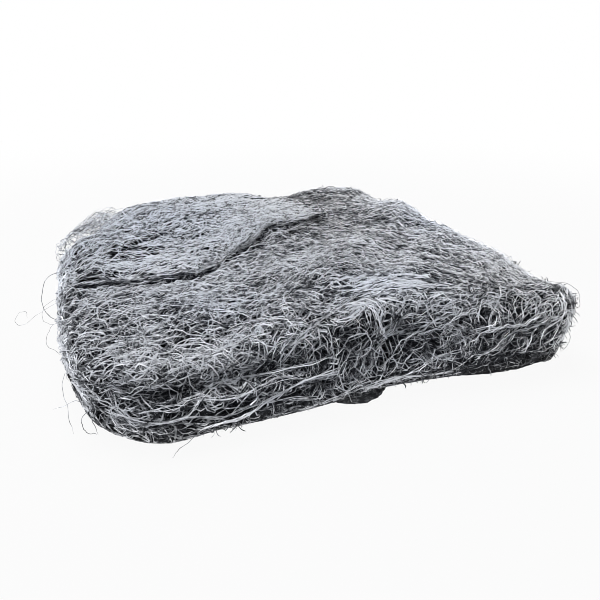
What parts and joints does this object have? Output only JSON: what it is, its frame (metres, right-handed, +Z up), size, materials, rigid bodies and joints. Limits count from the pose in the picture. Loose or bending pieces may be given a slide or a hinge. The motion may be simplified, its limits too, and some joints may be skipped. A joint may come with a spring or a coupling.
{
  "type": "lead wool",
  "caption": "Flat pad of matted, wavy lead strands with its end folded back over the top, for packing joints and filling gaps in shielding.",
  "frame": {"origin": "middle of the pad's box, on its flat underside", "axes": "+Z up through the thickness, +Y from the front side to the back, +X along the front side to the right"},
  "size_m": [0.135, 0.1488, 0.0281],
  "materials": {
    "lead_strands": "dull bluish-grey metal strands with bright edges"
  },
  "bodies": {
    "root": {"lead_wool_pad": "lead_strands"}
  },
  "joints": []
}
